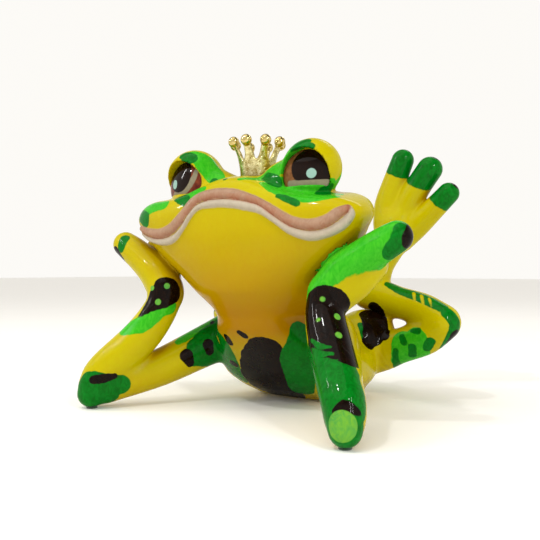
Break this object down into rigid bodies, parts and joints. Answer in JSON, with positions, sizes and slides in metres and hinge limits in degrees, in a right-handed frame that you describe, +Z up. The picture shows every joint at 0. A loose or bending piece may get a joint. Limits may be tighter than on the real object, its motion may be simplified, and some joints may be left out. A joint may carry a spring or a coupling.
{
  "type": "frog figurine",
  "caption": "Glossy painted frog figurine lying on its belly, chin in its hands, feet kicked up behind, with a small gold crown on its head.",
  "frame": {"origin": "middle of the belly's resting face, on the surface the figurine lies on", "axes": "+Z up, the frog faces -Y, its left side is +X"},
  "size_m": [0.2024, 0.1701, 0.1619],
  "materials": {
    "painted_resin": "high-gloss clear coat over hand-painted yellow, two greens and black-brown",
    "eye_gloss": "polished dark pupil on brown iris with a pale highlight dot",
    "crown_gold": "rough-cast antique gold band with polished balls",
    "steel_dowel": "plain drawn wire",
    "felt": "dark green adhesive-backed felt"
  },
  "bodies": {
    "root": {"torso": "painted_resin", "head": "painted_resin", "crown": "crown_gold", "belly_pad": "felt", "left_eye": "eye_gloss", "right_eye": "eye_gloss", "left_arm": "painted_resin", "right_arm": "painted_resin", "left_leg": "painted_resin", "right_leg": "painted_resin", "left_foot": "painted_resin", "right_foot": "painted_resin", "left_shoulder_dowel": "steel_dowel", "right_shoulder_dowel": "steel_dowel", "left_hip_dowel": "steel_dowel", "right_hip_dowel": "steel_dowel", "left_ankle_dowel": "steel_dowel", "right_ankle_dowel": "steel_dowel", "left_elbow_pad": "felt", "right_elbow_pad": "felt"}
  },
  "joints": []
}
